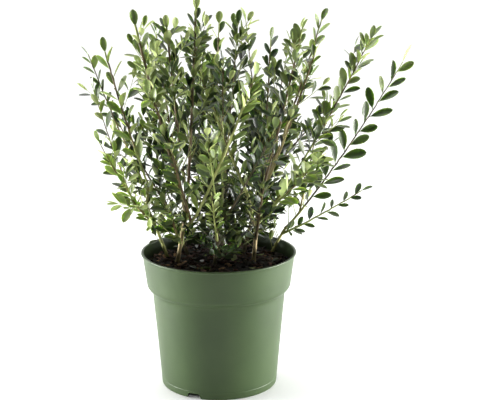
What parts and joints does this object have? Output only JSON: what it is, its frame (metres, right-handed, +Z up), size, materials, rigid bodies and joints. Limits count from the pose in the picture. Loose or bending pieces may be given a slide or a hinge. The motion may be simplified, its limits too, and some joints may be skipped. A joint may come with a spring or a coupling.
{
  "type": "potted japanese holly shrub",
  "caption": "Young Japanese holly shrub in a round green nursery pot, with thin woody stems that fork low and carry upright leafy shoots in a loose, open crown.",
  "frame": {"origin": "centre of the pad under the pot, level with the foot ring that it stands on", "axes": "+Z up the plant, +X to the right and +Y away from the viewer, as the picture shows it"},
  "size_m": [0.4147, 0.3364, 0.4803],
  "materials": {
    "pot_plastic": "satin moulded green plastic",
    "potting_mix": "damp dark mix of peat and bark chips",
    "bark": "matt grey-brown bark",
    "young_bark": "smooth green-tan young bark",
    "leaves": "small leathery dark green leaves with a soft gloss"
  },
  "bodies": {
    "root": {"pot": "pot_plastic", "soil": "potting_mix", "stem_left": "bark", "stem_outer_left": "bark", "stem_inner_left": "bark", "stem_centre": "bark", "stem_back": "bark", "stem_back_right": "bark", "stem_right": "bark", "stem_low_right": "bark", "bough_left_leader": "young_bark", "bough_front_left": "young_bark", "bough_far_left": "young_bark", "bough_low_left": "young_bark", "bough_centre": "young_bark", "bough_back": "young_bark", "bough_back_right": "young_bark", "bough_right_leader": "young_bark", "bough_right": "young_bark", "bough_crossing": "young_bark", "bough_low_right": "young_bark", "foliage_left_leader": "leaves", "foliage_left_crossing": "leaves", "foliage_left_outer": "leaves", "foliage_left_upper": "leaves", "foliage_front_left": "leaves", "foliage_front_far_left": "leaves", "foliage_far_left": "leaves", "foliage_far_left_top": "leaves", "foliage_far_left_low": "leaves", "foliage_low_left": "leaves", "foliage_low_front_left": "leaves", "foliage_inner_left": "leaves", "foliage_low_back_left": "leaves", "foliage_centre": "leaves", "foliage_centre_front": "leaves", "foliage_front": "leaves", "foliage_front_right": "leaves", "foliage_low_front": "leaves", "foliage_low_front_right": "leaves", "foliage_back": "leaves", "foliage_back_left": "leaves", "foliage_low_back": "leaves", "foliage_back_centre": "leaves", "foliage_back_right": "leaves", "foliage_back_middle": "leaves", "foliage_far_back_right": "leaves", "foliage_right_leader": "leaves", "foliage_right_top": "leaves", "foliage_right_front": "leaves", "foliage_right_back": "leaves", "foliage_right": "leaves", "foliage_low_right_front": "leaves", "foliage_crossing": "leaves", "foliage_far_right": "leaves", "foliage_far_right_back": "leaves", "foliage_low_right": "leaves", "foliage_low_centre": "leaves", "foliage_low_back_right": "leaves", "foliage_low_inner": "leaves"}
  },
  "joints": []
}
